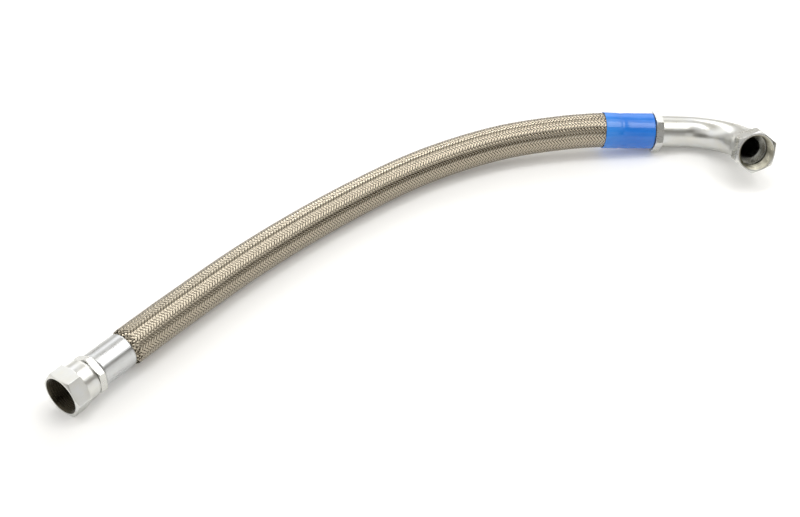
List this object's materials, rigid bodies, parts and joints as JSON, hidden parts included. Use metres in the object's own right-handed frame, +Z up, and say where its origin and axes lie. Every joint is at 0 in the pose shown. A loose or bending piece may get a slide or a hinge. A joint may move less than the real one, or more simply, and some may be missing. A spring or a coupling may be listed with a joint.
{
  "type": "braided supply line",
  "caption": "Flexible wire-braided hose line with a straight swivel nut at one end and a swept right-angle elbow with a swivel nut at the other, for carrying fluid from one port to another.",
  "frame": {"origin": "middle of the wrench flat that the straight swivel nut lies on, on the surface under the line", "axes": "+X along the straight nut's axis from its mouth into the hose, +Z up, +Y to the left of +X"},
  "size_m": [0.6863, 0.339, 0.062],
  "materials": {
    "straight_nut_zinc": "bright zinc plate, smooth",
    "straight_stem_zinc": "bright zinc plate, smooth",
    "ferrule_zinc": "bright zinc plate with faint drawn lines",
    "braid_wire": "stainless wire braid, warm grey",
    "textile_yarn": "braided yarn",
    "core_rubber": "smooth black rubber",
    "sleeve_blue": "glossy blue plastic film, blank",
    "elbow_stem_zinc": "bright zinc plate, smooth",
    "elbow_tube_zinc": "bright zinc plate on bent tube",
    "elbow_nose_zinc": "bright zinc plate, turned",
    "elbow_nut_zinc": "bright zinc plate, smooth"
  },
  "bodies": {
    "line": {"straight_stem": "straight_stem_zinc", "straight_ferrule": "ferrule_zinc", "wire_braid": "braid_wire", "textile_ply": "textile_yarn", "hose_core": "core_rubber", "elbow_ferrule": "ferrule_zinc", "id_sleeve": "sleeve_blue", "elbow_stem": "elbow_stem_zinc", "elbow_tube": "elbow_tube_zinc", "elbow_nose": "elbow_nose_zinc"},
    "straight_nut": {"straight_swivel_nut": "straight_nut_zinc"},
    "elbow_nut": {"elbow_swivel_nut": "elbow_nut_zinc"}
  },
  "joints": [
    {"name": "straight_nut_swivel", "type": "hinge", "parent": "line", "child": "straight_nut", "pos_m": [-0.00805, 0, 0.01905], "axis": [-1, 0, 0], "continuous": true},
    {"name": "elbow_nut_swivel", "type": "hinge", "parent": "line", "child": "elbow_nut", "pos_m": [0.62852, -0.3027, 0.04261], "axis": [-0.6437, -0.6709, 0.368], "continuous": true}
  ]
}
